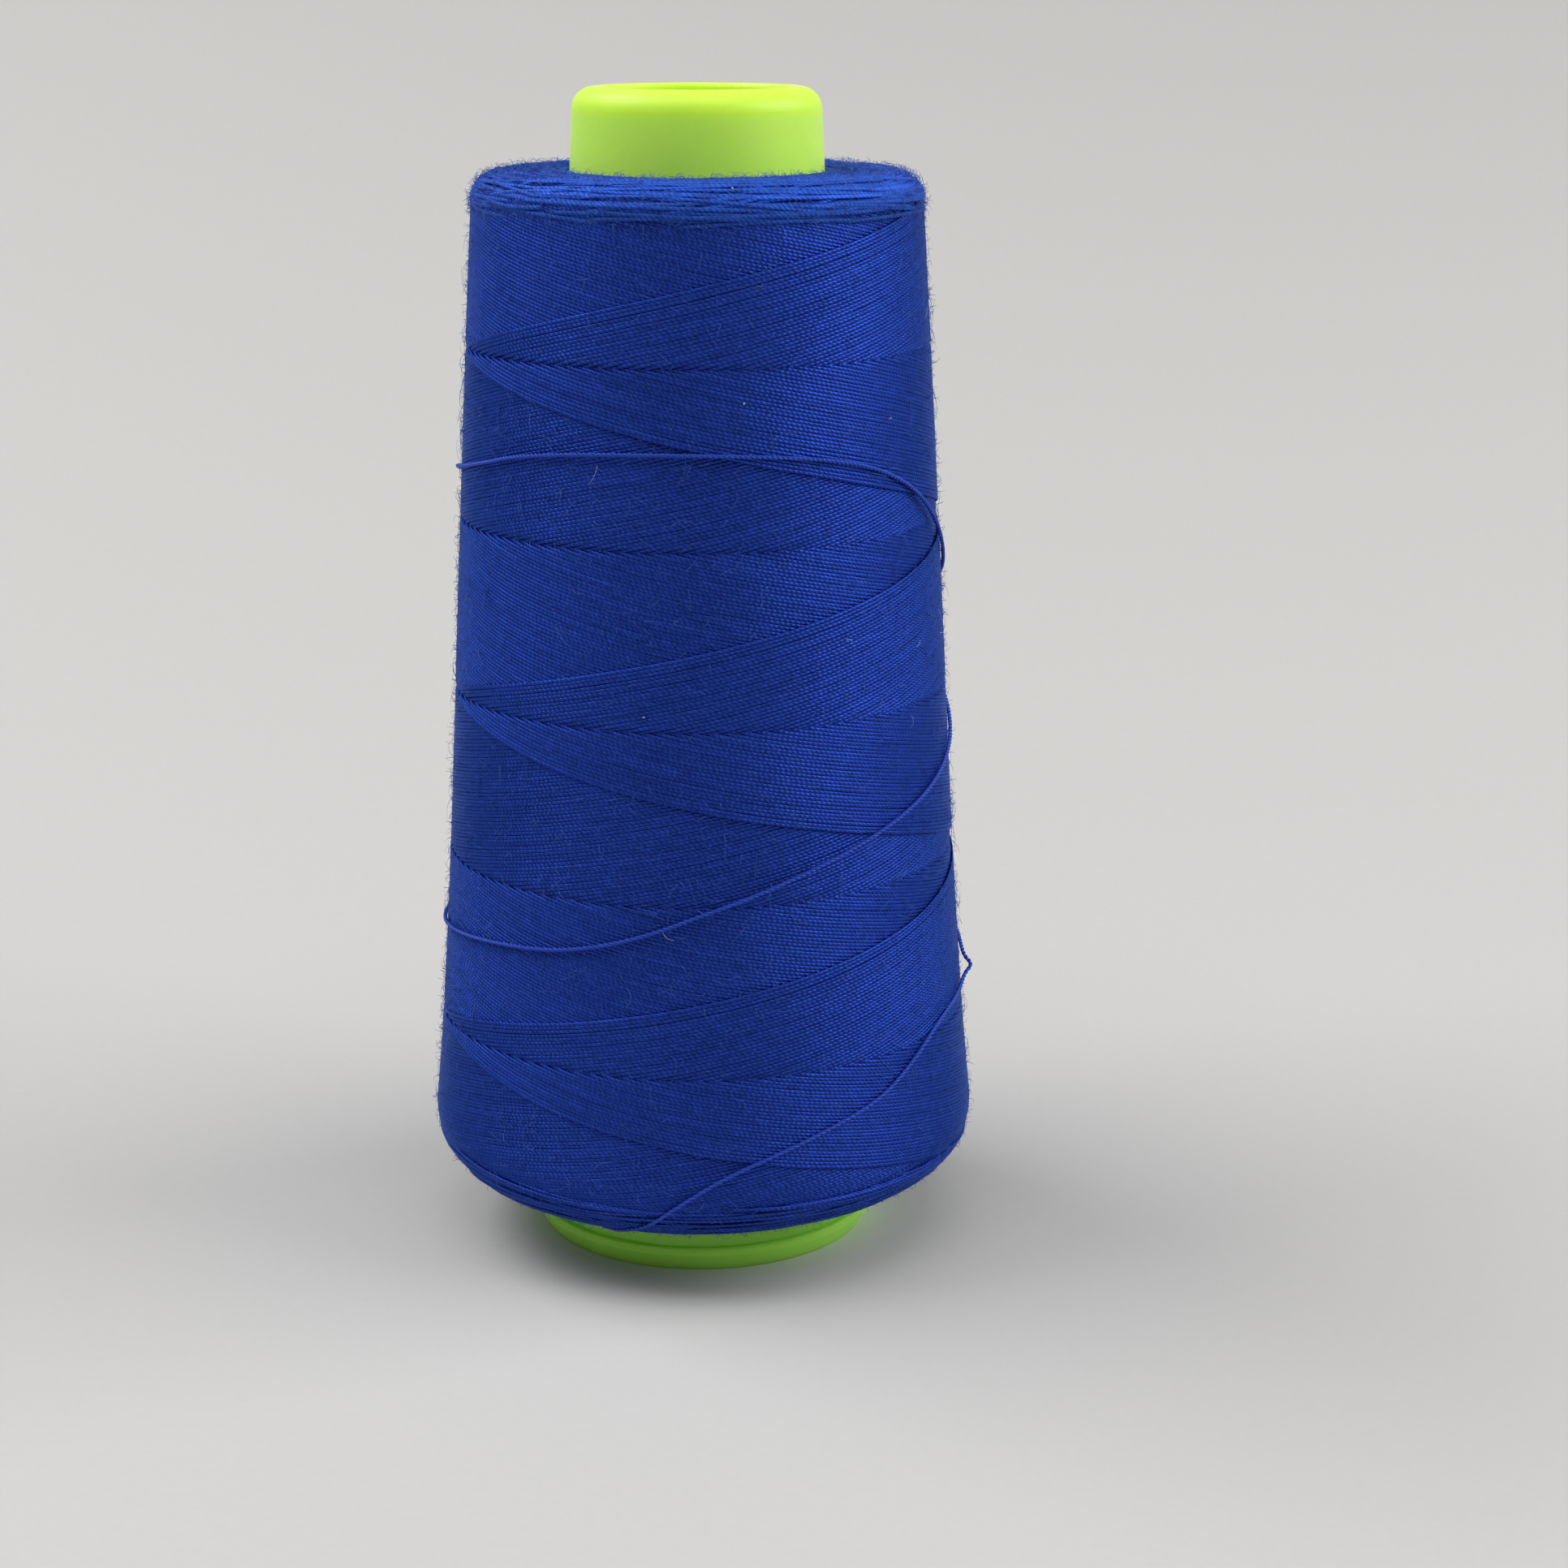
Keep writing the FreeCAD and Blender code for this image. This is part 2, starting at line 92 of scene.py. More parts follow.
class ConeSizes(PropertyGroup):
    """Sizes and colours of the moulded cone."""

    nose_radius: FloatProperty(
        name="Nose radius", description="Outside of the wall at the top, before its rounding",
        default=12.45 * MM, unit="LENGTH", precision=5)
    nose_ring_depth: FloatProperty(
        name="Nose ring depth", description="Thick ring round the hole",
        default=3.0 * MM, unit="LENGTH", precision=5)
    wall_base_radius: FloatProperty(
        name="Wall base radius", description="Outside of the wall where the rim ends",
        default=17.9 * MM, unit="LENGTH", precision=5)
    rim_height: FloatProperty(
        name="Rim height", description="Ledge on top of the rim",
        default=2.7 * MM, unit="LENGTH", precision=5)
    plastic: FloatVectorProperty(
        name="Plastic", description="Colour of the translucent plastic",
        default=(0.57, 0.97, 0.115), subtype="COLOR", size=3, min=0.0, max=1.0)
    # Painted light: a yellower plastic colour for the thick ring round the hole, standing in for the light
    # that this ring catches
    lit_ring_plastic: FloatVectorProperty(
        name="Ring plastic", description="Colour of the solid ring round the hole, which looks yellower",
        default=(0.60, 0.97, 0.075), subtype="COLOR", size=3, min=0.0, max=1.0)
    # Painted shade: a greener, darker plastic colour for the rim, standing in for the shaded, more saturated
    # look of the base under the package
    shaded_rim_plastic: FloatVectorProperty(
        name="Rim plastic", description="Colour of the plastic at the thicker rim, where it looks greener",
        default=(0.36, 0.90, 0.085), subtype="COLOR", size=3, min=0.0, max=1.0)


class WindingSizes(PropertyGroup):
    """Sizes, counts and colours of the thread and its winding."""

    base_height: FloatProperty(
        name="Base height", description="Corner between the package's underside and its flank",
        default=9.0 * MM, unit="LENGTH", precision=5)
    base_radius: FloatProperty(
        name="Base radius", description="Outermost thread at that corner, before its rounding",
        default=29.3 * MM, unit="LENGTH", precision=5)
    base_rounding: FloatProperty(
        name="Base rounding", description="Rounding of that corner",
        default=6.5 * MM, unit="LENGTH", precision=5)
    top_radius: FloatProperty(
        name="Top radius", description="Outermost thread at the top corner, before its rounding",
        default=22.75 * MM, unit="LENGTH", precision=5)
    top_rounding: FloatProperty(
        name="Top rounding", description="Rounding of the top corner",
        default=3.0 * MM, unit="LENGTH", precision=5)
    flank_sag: FloatProperty(
        name="Flank sag", description="How far the flank is drawn in between its ends",
        default=0.42 * MM, unit="LENGTH", precision=5)
    lead: FloatProperty(
        name="Lead", description="Height that the thread climbs in one turn",
        default=35.0 * MM, unit="LENGTH", precision=5)
    newest_rise: FloatProperty(
        name="Newest rise", description="Height of the newest rising thread at the front",
        default=67.0 * MM, unit="LENGTH", precision=5)
    newest_fall: FloatProperty(
        name="Newest fall", description="Height of the newest falling thread at the front",
        default=52.5 * MM, unit="LENGTH", precision=5)
    passes: IntProperty(
        name="Passes", description="Passes up and down that fill one layer", default=95, min=2)
    turns_up: IntProperty(
        name="Turns up", description="Turns between the two ends of the package", default=3, min=1)
    reversal: FloatProperty(
        name="Reversal", description="Angle over which a thread turns back at an end",
        default=math.radians(20.0), subtype="ANGLE")
    thread_width: FloatProperty(
        name="Thread width", description="Width of one thread, pressed flat on the package",
        default=0.44 * MM, unit="LENGTH", precision=6)
    thread_depth: FloatProperty(
        name="Thread depth", description="Depth of one thread, pressed flat on the package",
        default=0.26 * MM, unit="LENGTH", precision=6)
    layer_step: FloatProperty(
        name="Layer step", description="How much higher a thread lies where it crosses over another",
        default=0.27 * MM, unit="LENGTH", precision=6)
    twist_pitch: FloatProperty(
        name="Twist pitch", description="Length of one full twist of the two plies",
        default=1.12 * MM, unit="LENGTH", precision=6)
    blue: FloatVectorProperty(
        name="Blue", description="Colour of the thread",
        default=(0.0175, 0.0495, 0.332), subtype="COLOR", size=3, min=0.0, max=1.0)
    # Painted light: a blue lighter than the thread's own, used on the upward-facing top face for the light
    # from above and on the inner layers to lighten the shaded gaps between the outer threads
    painted_lit_blue: FloatVectorProperty(
        name="Top blue", description="Colour of the looser, fluffier thread on the top face",
        default=(0.026, 0.105, 0.58), subtype="COLOR", size=3, min=0.0, max=1.0)


class StageSizes(PropertyGroup):
    """Camera, floor and light."""

    camera_place: FloatVectorProperty(
        name="Camera place", description="Where the camera stands",
        default=(8.72 * MM, -310 * MM, 130.9 * MM), subtype="TRANSLATION", unit="LENGTH", size=3)
    camera_pitch: FloatProperty(
        name="Camera pitch", description="How far the camera looks down",
        default=math.radians(15.0), subtype="ANGLE")
    lens: FloatProperty(
        name="Lens", description="Focal length on a 36 mm sensor, in millimetres", default=69.49)
    floor: FloatVectorProperty(
        name="Floor", description="Colour of the floor and backdrop",
        default=(0.52, 0.515, 0.505), subtype="COLOR", size=3, min=0.0, max=1.0)


class ThreadCone(PropertyGroup):
    """All settings of the thread cone."""

    cone: PointerProperty(type=ConeSizes)
    winding: PointerProperty(type=WindingSizes)
    stage: PointerProperty(type=StageSizes)


def unit(vectors):
    """The vectors divided by their lengths, along the last axis."""
    return vectors / np.linalg.norm(vectors, axis=-1, keepdims=True)


def smooth_step(values, low, high):
    """0 below low, 1 above high and 3t^2 - 2t^3 between them."""
    share = np.clip((values - low) / (high - low), 0, 1)
    return share * share * (3 - 2 * share)


def wander(rng, count, spacing):
    """A smooth random walk of mean 0 and deviation about 1: normal numbers every spacing steps, eased."""
    knots = rng.normal(size=count // spacing + 2)
    place = np.arange(count) / spacing
    before = place.astype(int)
    ease = smooth_step(place - before, 0, 1)
    return knots[before] * (1 - ease) + knots[before + 1] * ease


def round_cone(angle, radius, height):
    """Points at these angles anticlockwise from the front: (radius sin, -radius cos, height)."""
    return np.stack([radius * np.sin(angle), -radius * np.cos(angle), height + 0 * angle], axis=-1)


class Profile:
    """Outline of the thread package, as radius and height along a lay coordinate.

    The outline is a straight underside, an arc, a flank, an arc and a flat top face. The flank is a
    straight line drawn in by sag * sin^2(pi sqrt(share of its length)). The lay coordinate is the
    height at the middle of the flank, and goes on from there as length along the outline.
    """

    flank_points = 60
    arc_points = 24

    def __init__(self, sizes, cone):
        foot = PACKAGE_LOW.z
        top = PACKAGE_HIGH.z
        foot_radius = wall_radius(cone, foot)
        nose_radius = wall_radius(cone, top)
        flank_lean = math.atan2(sizes.base_radius - sizes.top_radius, top - sizes.base_height)
        underside = math.atan2(sizes.base_height - foot, sizes.base_radius - foot_radius)
        base_turn = math.pi / 2 + flank_lean - underside
        base_reach = sizes.base_rounding * math.tan(base_turn / 2)
        top_turn = math.pi / 2 - flank_lean
        top_reach = sizes.top_rounding * math.tan(top_turn / 2)
        base_low = np.array([
            sizes.base_radius - base_reach * math.cos(underside),
            sizes.base_height - base_reach * math.sin(underside)])
        base_high = np.array([
            sizes.base_radius - base_reach * math.sin(flank_lean),
            sizes.base_height + base_reach * math.cos(flank_lean)])
        top_low = np.array([
            sizes.top_radius + top_reach * math.sin(flank_lean), top - top_reach * math.cos(flank_lean)])
        share = np.linspace(0, 1, self.flank_points)[:, None]
        straight = base_high + (top_low - base_high) * share
        sag = sizes.flank_sag * np.sin(math.pi * np.sqrt(share[:, 0])) ** 2
        straight[:, 0] -= sag
        base_arc = self.arc(base_low, underside, base_turn, sizes.base_rounding)
        top_arc = self.arc(top_low, math.pi / 2 + flank_lean, top_turn, sizes.top_rounding)
        foot_point = np.array([[foot_radius, foot]])
        nose_point = np.array([[nose_radius, top]])
        self.points = np.concatenate([foot_point, base_arc, straight[1:-1], top_arc, nose_point])
        length = np.r_[0, np.cumsum(np.linalg.norm(np.diff(self.points, axis=0), axis=1))]
        middle = len(self.points) // 2
        self.lay = length - length[middle] + self.points[middle, 1]
        ahead = unit(np.gradient(self.points, axis=0))
        self.normals = np.stack([ahead[:, 1], -ahead[:, 0]], axis=-1)

    def arc(self, start, heading, turn, radius):
        """Points of an arc that leaves start along heading and turns left: centre + radius * bearing."""
        bearing = heading - math.pi / 2 + turn * np.linspace(0, 1, self.arc_points)
        centre = start - radius * np.array([math.sin(heading), -math.cos(heading)])
        return centre + radius * np.stack([np.cos(bearing), np.sin(bearing)], axis=-1)

    def at(self, lay, lift=0.0):
        """Radius and height at this lay coordinate, lifted along the outline's normal."""
        radius, height, out, up = self.read(lay)
        return radius + lift * out, height + lift * up

    def read(self, lay):
        """Radius, height and the normal's two parts at this lay coordinate, by straight interpolation."""
        columns = (self.points[:, 0], self.points[:, 1], self.normals[:, 0], self.normals[:, 1])
        return [np.interp(lay, self.lay, column) for column in columns]

    def wrap(self, angle, lay, lift=0.0):
        """Points and outward normals on the package at these angles and lay coordinates."""
        radius, height, out, up = self.read(lay)
        points = round_cone(angle, radius + lift * out, height + lift * up)
        return points, unit(round_cone(angle, out, up))

    def lay_at(self, height):
        """Lay coordinate of a height on the underside or the flank."""
        return np.interp(height, self.points[:, 1], self.lay)


def wall_radius(cone, height):
    """Outside radius of the cone's wall: a straight taper from the rim to the nose."""
    share = (height - cone.rim_height) / (CONE_TOP - cone.rim_height)
    return cone.wall_base_radius + share * (cone.nose_radius - cone.wall_base_radius)


def hairs(name, profile, angle, lay, length, heading, curl, height, half_thickness, stations):
    """Tapering hairs that are arcs on the unrolled package.

    At share u of its length a hair has gone length / curl * (sin(heading + curl u) - sin heading) round
    the package and length / curl * (cos heading - cos(heading + curl u)) up it, and stands at
    -0.2 mm + (height + 0.2 mm) * (1 - (1 - u)^3) off it.
    """
    share = np.linspace(0, 1, stations)
    curl = np.where(np.abs(curl) < 0.05, 0.05, curl)[:, None]
    heading, length, height = heading[:, None], length[:, None], height[:, None]
    round_way = length / curl * (np.sin(heading + curl * share) - np.sin(heading))
    up_way = length / curl * (np.cos(heading) - np.cos(heading + curl * share))
    radius = profile.at(lay)[0][:, None]
    root = -0.2 * MM
    lift = root + (height - root) * (1 - (1 - share) ** 3)
    places = np.clip(lay[:, None] + up_way, profile.lay[0], profile.lay[-1])
    centres, outward = profile.wrap(angle[:, None] + round_way / radius, places, lift)
    thick = half_thickness * (1 - 0.7 * share) + 0 * length
    return tubes(name, centres, outward, thick, thick, 3, share + 0 * length, 1.0)


def put_mesh(name, points, quads, caps=None, quad_uv=None, cap_uv=None, shade=None):
    """A new smooth mesh object from arrays: corner numbers of its quads and end caps, with a UV map."""
    faces = [quads.reshape(-1, 4)]
    if caps is not None:
        faces.append(caps)
    corners = np.concatenate([part.ravel() for part in faces]).astype(np.int32)
    sizes = np.concatenate([np.full(len(part), part.shape[1]) for part in faces])
    starts = np.r_[0, np.cumsum(sizes)[:-1]].astype(np.int32)
    mesh = bpy.data.meshes.new(name)
    mesh.vertices.add(len(points))
    mesh.vertices.foreach_set("co", points.astype(np.float32).ravel())
    mesh.loops.add(len(corners))
    mesh.loops.foreach_set("vertex_index", corners)
    mesh.polygons.add(len(starts))
    mesh.polygons.foreach_set("loop_start", starts)
    mesh.polygons.foreach_set("use_smooth", np.ones(len(starts), bool))
    if quad_uv is not None:
        parts = [quad_uv] if caps is None else [quad_uv, cap_uv]
        spread = np.concatenate([part.reshape(-1, 2) for part in parts])
        layer = mesh.uv_layers.new(name="thread")
        layer.data.foreach_set("uv", spread.astype(np.float32).ravel())
    if shade is not None:
        attribute = mesh.attributes.new("shade", "FLOAT", "POINT")
        attribute.data.foreach_set("value", shade.astype(np.float32).ravel())
    mesh.update(calc_edges=True)
    if mesh.validate():
        raise RuntimeError(name + " has faulty faces")
    piece = bpy.data.objects.new(name, mesh)
    bpy.context.scene.collection.objects.link(piece)
    return piece


def tubes(name, centres, outward, half_width, half_depth, sides, along, shade):
    """Closed tubes along rows of points.

    A ring's point at angle t is centre + half_width cos t * sideways + half_depth sin t * outward,
    where sideways is square to the outward direction and the row's heading. centres is an array of
    rows by stations by 3; widths and depths are numbers or rows by stations. The UV map's first
    coordinate is along, for a thread its length in twist pitches, and its second the share of a turn
    round the tube.
    """
    rows, stations = centres.shape[:2]
    ahead = unit(np.gradient(centres, axis=1))
    sideways = unit(np.cross(outward, ahead))
    over = np.cross(ahead, sideways)
    turn = TURN * np.arange(sides) / sides
    wide = np.broadcast_to(half_width, (rows, stations))[..., None, None] * np.cos(turn)[:, None]
    deep = np.broadcast_to(half_depth, (rows, stations))[..., None, None] * np.sin(turn)[:, None]
    points = centres[:, :, None] + wide * sideways[:, :, None] + deep * over[:, :, None]
    side = np.arange(sides)
    after = (side + 1) % sides
    ring = (np.arange(rows)[:, None] * stations + np.arange(stations - 1)) * sides
    ring = ring[:, :, None]
    quads = np.stack([ring + side, ring + after, ring + sides + after, ring + sides + side], axis=-1)
    first = np.arange(rows)[:, None] * stations * sides
    last = first + (stations - 1) * sides
    caps = np.concatenate([first + side[::-1], last + side])
    here, onward = along[:, :-1, None] + 0 * side, along[:, 1:, None] + 0 * side
    low, high = (side / sides + 0 * here), ((side + 1) / sides + 0 * here)
    quad_uv = np.stack([
        np.stack([here, low], -1), np.stack([here, high], -1),
        np.stack([onward, high], -1), np.stack([onward, low], -1)], axis=-2)
    cap_along = np.concatenate([along[:, 0], along[:, -1]])[:, None] + 0 * side
    cap_uv = np.stack([cap_along, side / sides + 0 * cap_along], -1)
    shades = np.repeat(np.broadcast_to(shade, (rows, stations))[..., None], sides, axis=-1)
    return put_mesh(name, points.reshape(-1, 3), quads, caps, quad_uv, cap_uv, shades)


def turned(name, outline, steps):
    """A closed surface of revolution: each outline point (radius, height) goes once round the axis."""
    angle = TURN * np.arange(steps) / steps
    points = round_cone(angle[None, :], outline[:, :1], outline[:, 1:])
    row = (np.arange(len(outline)) * steps)[:, None]
    next_row = np.roll(row, -1)
    column = np.arange(steps)
    after = (column + 1) % steps
    quads = np.stack([row + column, row + after, next_row + after, next_row + column], axis=-1)
    return put_mesh(name, points.reshape(-1, 3), quads)


def finish(piece, material, slot, *nodes):
    """Gives a piece its material and its body, and hides the CAD nodes that it stands for. slot is not used.
    """
    piece.data.materials.append(material)
    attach(piece, "root")
    if nodes:
        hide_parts(*nodes)


class Recipe:
    """A material's nodes, added and joined by short calls."""

    def __init__(self, name):
        self.material = bpy.data.materials.new(name)
        self.material.use_nodes = True
        self.tree = self.material.node_tree
        self.tree.nodes.clear()
        self.shader = self.add("ShaderNodeBsdfPrincipled")
        output = self.add("ShaderNodeOutputMaterial")
        self.tree.links.new(self.shader.outputs[0], output.inputs["Surface"])

    def add(self, kind, **settings):
        """A new node with these settings."""
        node = self.tree.nodes.new(kind)
        for key, value in settings.items():
            setattr(node, key, value)
        return node

    def feed(self, socket, value):
        """Joins a socket to another node's output, or sets its number or colour."""
        if isinstance(value, bpy.types.NodeSocket):
            self.tree.links.new(value, socket)
        else:
            socket.default_value = value

    def math(self, operation, first, second=0.0):
        """One Math node of two values."""
        node = self.add("ShaderNodeMath", operation=operation)
        self.feed(node.inputs[0], first)
        self.feed(node.inputs[1], second)
        return node.outputs[0]

    def mix(self, share, first, second, blend="MIX"):
        """One colour Mix node."""
        node = self.add("ShaderNodeMix", data_type="RGBA", blend_type=blend)
        self.feed(node.inputs["Factor"], share)
        self.feed(node.inputs[6], first)
        self.feed(node.inputs[7], second)
        return node.outputs[2]

    def noise(self, vector, scale, detail=2.0, roughness=0.5):
        """Noise between about 0 and 1 at this scale."""
        node = self.add("ShaderNodeTexNoise")
        self.feed(node.inputs["Vector"], vector)
        self.feed(node.inputs["Scale"], scale)
        self.feed(node.inputs["Detail"], detail)
        self.feed(node.inputs["Roughness"], roughness)
        return node.outputs["Fac"]

    def remap(self, value, low, high, new_low, new_high):
        """Map Range from one span to another."""
        node = self.add("ShaderNodeMapRange")
        for socket, number in zip(node.inputs, (value, low, high, new_low, new_high)):
            self.feed(socket, number)
        return node.outputs[0]

    def bump(self, height, strength, distance):
        """A Bump node, joined to the shader."""
        node = self.add("ShaderNodeBump")
        self.feed(node.inputs["Height"], height)
        self.feed(node.inputs["Strength"], strength)
        self.feed(node.inputs["Distance"], distance)
        self.feed(self.shader.inputs["Normal"], node.outputs[0])

    def set(self, **values):
        """Sets the shader's inputs, with spaces in their names written as underscores."""
        for key, value in values.items():
            self.feed(self.shader.inputs[key.replace("_", " ")], value)


def scaled(colour, factor):
    """An opaque colour, brighter or darker by a factor."""
    return tuple(channel * factor for channel in colour[:3]) + (1.0,)


def thread_finish(name, blue, gloss, roughness):
    """Two twisted plies with fine fibre noise along them: painted shade darkens the grooves that wind round
    the thread, and a painted highlight brightens the ply crowns.

    The crown of the plies is |cos(turn * (share round the tube - twist pitches along it))|.
    """
    recipe = Recipe(name)
    spread = recipe.add("ShaderNodeUVMap", uv_map="thread")
    split = recipe.add("ShaderNodeSeparateXYZ")
    recipe.feed(split.inputs[0], spread.outputs[0])
    phase = recipe.math("SUBTRACT", split.outputs["Y"], split.outputs["X"])
    crown = recipe.math("ABSOLUTE", recipe.math("COSINE", recipe.math("MULTIPLY", phase, TURN)))
    fibres = recipe.noise(spread.outputs[0], 3.0, 3.0, 0.7)
    patches = recipe.noise(spread.outputs[0], 0.9, 1.0, 0.5)
    shade = recipe.add("ShaderNodeAttribute", attribute_name="shade")
    # light: random tone per strand and noise along the fibres and in patches, times painted shade in the
    # twist grooves and a painted highlight on the ply crowns
    light = recipe.math("MULTIPLY", shade.outputs["Fac"], recipe.remap(fibres, 0.3, 0.7, 0.8, 1.2))
    light = recipe.math("MULTIPLY", light, recipe.remap(patches, 0.3, 0.7, 0.86, 1.14))
    # Painted shade and highlight: 0.58 in the twist grooves, up to 1.14 on the ply crowns
    light = recipe.math("MULTIPLY", light, recipe.remap(crown, 0.1, 0.85, 0.58, 1.14))
    colour = recipe.mix(1.0, scaled(blue, 1.0), light, "MULTIPLY")
    recipe.set(
        Base_Color=colour, Roughness=roughness, Metallic=gloss, Specular_IOR_Level=0.2,
        Specular_Tint=(0.5, 0.65, 1.0, 1.0))
    recipe.bump(recipe.math("ADD", crown, recipe.math("MULTIPLY", fibres, 0.5)), 0.5, 0.08 * MM)
    return recipe.material


class THREADCONE_OT_stage(Operator):
    """Camera at the photo's angle, a pale floor that curves up behind, soft light from sides and above"""

    bl_idname = "threadcone.stage"
    bl_label = "Stage"

    def execute(self, context):
        stage = context.scene.thread_cone.stage
        camera = bpy.data.cameras.new("camera")
        camera.lens = stage.lens
        camera.sensor_width = 36.0
        camera.clip_start = 0.01
        holder = bpy.data.objects.new("camera", camera)
        holder.location = stage.camera_place
        holder.rotation_euler = Euler((math.pi / 2 - stage.camera_pitch, 0, 0))
        context.scene.collection.objects.link(holder)
        context.scene.camera = holder
        self.sweep(stage)
        self.lamp("left_softbox", (-0.60, 0.106, 0.788), 6.8)
        self.lamp("right_softbox", (0.82, -0.057, 0.535), 6.5)
        self.lamp("top_softbox", (0.0, -0.30, 0.97), 3.3)
        world = bpy.data.worlds.new("world")
        context.scene.world = world
        world.use_nodes = True
        background = world.node_tree.nodes["Background"]
        background.inputs["Color"].default_value = (1.0, 0.99, 0.975, 1.0)
        background.inputs["Strength"].default_value = 0.30
        context.scene.view_settings.view_transform = "Standard"
        return {"FINISHED"}

    def sweep(self, stage):
        """The floor and backdrop: one profile of floor, quarter arc and wall, carried across.

        In metres: the floor's near edge, where it starts to bend, the bend's radius, the wall's top and
        half the width.
        """
        near, bend, radius, top, half = -2.4, 0.10, 1.1, 2.4, 4.0
        bearing = np.linspace(-math.pi / 2, 0, 33)
        arc = np.stack([bend + radius * np.cos(bearing), radius + radius * np.sin(bearing)], -1)
        outline = np.concatenate([[[near, 0.0]], arc, [[bend + radius, top]]])
        across = np.array([-half, half])
        points = np.stack([
            np.broadcast_to(across, (len(outline), 2)),
            np.broadcast_to(outline[:, :1], (len(outline), 2)),
            np.broadcast_to(outline[:, 1:], (len(outline), 2))], axis=-1)
        row = np.arange(len(outline) - 1) * 2
        quads = np.stack([row, row + 1, row + 3, row + 2], axis=-1)
        floor = put_mesh("floor_sweep", points.reshape(-1, 3), quads)
        recipe = Recipe("floor_paper")
        place = recipe.add("ShaderNodeTexCoord").outputs["Object"]
        grain = recipe.noise(place, 900.0, 2.0)
        pale = scaled(stage.floor, 1.0)
        recipe.set(
            Base_Color=recipe.mix(recipe.remap(grain, 0.3, 0.7, 0.0, 1.0), scaled(pale, 0.98), pale),
            Roughness=0.7, Specular_IOR_Level=0.25)
        floor.data.materials.append(recipe.material)

    def lamp(self, name, place, power):
        """A wide softbox that looks at the middle of the thread."""
        target = Vector((0.0, 0.0, 0.06))
        light = bpy.data.lights.new(name, "AREA")
        light.shape = "RECTANGLE"
        light.size = 0.9
        light.size_y = 0.45
        light.energy = power
        holder = bpy.data.objects.new(name, light)
        holder.location = place
        holder.rotation_euler = (target - Vector(place)).to_track_quat("-Z", "Y").to_euler()
        bpy.context.scene.collection.objects.link(holder)


class THREADCONE_OT_cone(Operator):
    """The moulded cone of translucent lime plastic"""

    bl_idname = "threadcone.cone"
    bl_label = "Moulded cone"

    def execute(self, context):
        cone = context.scene.thread_cone.cone
        recipe = Recipe("lime_plastic")
        place = recipe.add("ShaderNodeTexCoord").outputs["Object"]
        cloud = recipe.noise(place, 120.0, 3.0)
        split = recipe.add("ShaderNodeSeparateXYZ")
        recipe.feed(split.inputs[0], place)
        height = split.outputs["Z"]
        # Painted shade: the colour goes from the greener, darker rim colour at 10 mm to the plain plastic at
        # 100 mm
        rise = recipe.remap(height, 10 * MM, 100 * MM, 0.0, 1.0)
        # Painted light: the top 2.4 mm round the hole takes the yellower ring colour, fading out by 3 mm
        # down
        ring_low = CONE_TOP - cone.nose_ring_depth
        ring_full = CONE_TOP - 0.8 * cone.nose_ring_depth
        ring = recipe.remap(height, ring_low, ring_full, 0.0, 1.0)
        lime = recipe.mix(rise, scaled(cone.shaded_rim_plastic, 1.0), scaled(cone.plastic, 1.0))
        lime = recipe.mix(ring, lime, scaled(cone.lit_ring_plastic, 1.0))
        patches = recipe.remap(cloud, 0.35, 0.65, 0.94, 1.0)
        recipe.set(
            Base_Color=recipe.mix(1.0, lime, patches, "MULTIPLY"),
            Roughness=0.42, Specular_IOR_Level=0.3, IOR=1.49, Subsurface_Weight=0.8,
            Subsurface_Radius=(0.8, 1.0, 0.25), Subsurface_Scale=0.004)
        recipe.bump(cloud, 0.15, 0.05 * MM)
        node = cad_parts["moulded_cone"]
        node.data.materials.clear()
        node.data.materials.append(recipe.material)
        return {"FINISHED"}


class THREADCONE_OT_inner_layers(Operator):
    """The inner layers of thread, one closed turned form just under the outer layer"""

    bl_idname = "threadcone.inner_layers"
    bl_label = "Inner layers"

    # The form lies 2.6 layer steps and half a thread under the outermost thread, and half as deep at
    # its ends. It rises between these lay coordinates.
    low_end = (7 * MM, 9 * MM)
    high_end = (109 * MM, 110.5 * MM)
    clearance = 0.05 * MM

    def execute(self, context):
        settings = context.scene.thread_cone
        sizes = settings.winding
        profile = Profile(sizes, settings.cone)
        ends = 1 - smooth_step(profile.lay, *self.low_end) + smooth_step(profile.lay, *self.high_end)
        sunk = -(2.6 * sizes.layer_step + sizes.thread_depth / 2) * (1 - 0.5 * ends)
        radius, height = profile.at(profile.lay, sunk)
        outer = np.stack([radius, height], axis=-1)[1:-1]
        low, high = outer[0, 1], outer[-1, 1]
        inner = np.array([
            [wall_radius(settings.cone, low) + self.clearance, low],
            [wall_radius(settings.cone, high) + self.clearance, high]])
        outline = np.concatenate([inner[:1], outer, inner[1:]])
        piece = turned("inner_layers", outline, 180)
        recipe = Recipe("inner_thread")
        place = recipe.add("ShaderNodeTexCoord").outputs["Object"]
        strands = recipe.noise(place, 2500.0, 2.0)
        # Painted light: the inner layers, seen only in the shaded gaps between the outer threads, take the
        # lighter blue at 0.5 to 1.1 so that those gaps read lighter
        blue = sizes.painted_lit_blue
        recipe.set(
            Base_Color=recipe.mix(strands, scaled(blue, 0.5), scaled(blue, 1.1)), Roughness=0.8)
        finish(piece, recipe.material, "blue_thread", "thread_package")
        return {"FINISHED"}


